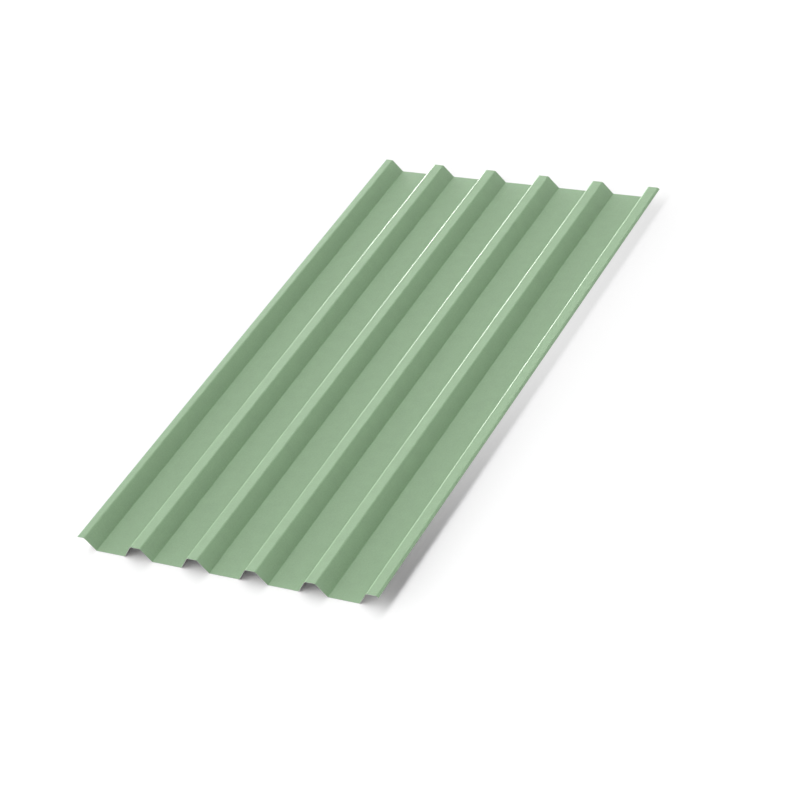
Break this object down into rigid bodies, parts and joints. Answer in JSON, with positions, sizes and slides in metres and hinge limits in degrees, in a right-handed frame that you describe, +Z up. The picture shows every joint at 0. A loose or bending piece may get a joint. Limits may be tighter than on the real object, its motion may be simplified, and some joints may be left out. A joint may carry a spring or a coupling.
{
  "type": "corrugated metal sheet",
  "caption": "Pre-painted corrugated steel sheet with flat pans and narrow trapezoidal ribs, for roofs, walls and fences; one edge is a plain lip, the other a crest that laps over it.",
  "frame": {"origin": "under the middle of the rib pattern at mid-length, on the underside of the middle pan, which is also the level the sheet lies on", "axes": "+X across the ribs from the plain lip to the turned-down edge, +Y along the ribs, +Z up out of the crests"},
  "size_m": [1.0284, 2, 0.044],
  "materials": {
    "coated_steel": "satin pale green coil coat"
  },
  "bodies": {
    "root": {"sheet": "coated_steel"}
  },
  "joints": []
}
